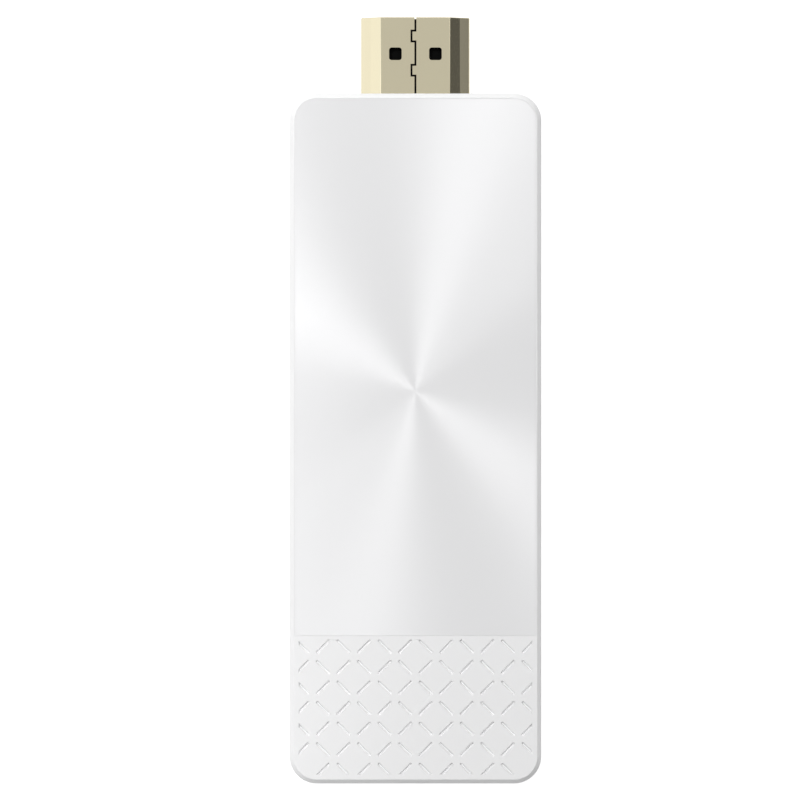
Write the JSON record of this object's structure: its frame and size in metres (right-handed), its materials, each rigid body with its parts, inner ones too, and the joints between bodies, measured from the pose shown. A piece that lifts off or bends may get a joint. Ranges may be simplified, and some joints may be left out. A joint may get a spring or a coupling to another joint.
{
  "type": "streaming media player",
  "caption": "White plug-in video stick with a spun-finish front plate, a band of criss-cross slots, a gold plug at one end, a power socket at the other and a side button.",
  "frame": {"origin": "on the rear face, in the middle of the whole footprint, plug included", "axes": "+Y along the stick towards the video plug, +Z out of the front face with the spun plate, +X to the right when the front face is seen with the plug at the top"},
  "size_m": [0.0322, 0.0978, 0.0126],
  "materials": {
    "white_plastic": "satin white moulding",
    "spun_white": "white lacquer over fine rings spun about one point",
    "adhesive_film": "double-sided film",
    "gold_plate": "pale champagne plating",
    "contact_gold": "bright gold plating",
    "black_plastic": "moulded black",
    "steel": "plain steel",
    "board_green": "solder mask",
    "chip_black": "moulded package",
    "tin_plate": "tinned sheet",
    "pad_grey": "soft thermal pad",
    "aluminium": "plain sheet",
    "ferrite": "sintered, matt",
    "tantalum": "moulded yellow",
    "clear_plastic": "clear moulding"
  },
  "bodies": {
    "stick": {"front_shell": "white_plastic", "rear_shell": "white_plastic", "spun_plate": "spun_white", "plate_adhesive": "adhesive_film", "light_pipe": "clear_plastic", "switch_body": "black_plastic", "switch_frame": "tin_plate", "switch_dome": "steel", "video_plug_shell": "gold_plate", "video_plug_insulator": "black_plastic", "power_socket_shell": "steel", "power_socket_insulator": "black_plastic", "main_board": "board_green", "processor": "chip_black", "processor_pad": "pad_grey", "shield_fence": "tin_plate", "shield_lid": "tin_plate", "lid_pad": "pad_grey", "heat_spreader": "aluminium", "memory_chip_1": "chip_black", "memory_chip_2": "chip_black", "storage_chip": "chip_black", "clock_crystal": "steel", "antenna_left": "contact_gold", "antenna_right": "contact_gold", "radio_can": "tin_plate", "radio_chip": "chip_black", "power_chip": "chip_black", "power_inductor_1": "ferrite", "power_inductor_2": "ferrite", "bulk_capacitor": "tantalum", "status_lamp": "clear_plastic", "board_screw_1": "steel", "board_screw_2": "steel", "video_contact_01": "contact_gold", "video_contact_02": "contact_gold", "video_contact_03": "contact_gold", "video_contact_04": "contact_gold", "video_contact_05": "contact_gold", "video_contact_06": "contact_gold", "video_contact_07": "contact_gold", "video_contact_08": "contact_gold", "video_contact_09": "contact_gold", "video_contact_10": "contact_gold", "video_contact_11": "contact_gold", "video_contact_12": "contact_gold", "video_contact_13": "contact_gold", "video_contact_14": "contact_gold", "video_contact_15": "contact_gold", "video_contact_16": "contact_gold", "video_contact_17": "contact_gold", "video_contact_18": "contact_gold", "video_contact_19": "contact_gold", "power_contact_1": "contact_gold", "power_contact_2": "contact_gold", "power_contact_3": "contact_gold", "power_contact_4": "contact_gold", "power_contact_5": "contact_gold"},
    "button": {"side_button": "white_plastic", "switch_plunger": "black_plastic"}
  },
  "joints": [
    {"name": "button_press", "type": "slide", "parent": "stick", "child": "button", "axis": [-1, 0, 0], "range_m": [0, 0.0004], "stiffness_N_per_m": 2000}
  ]
}
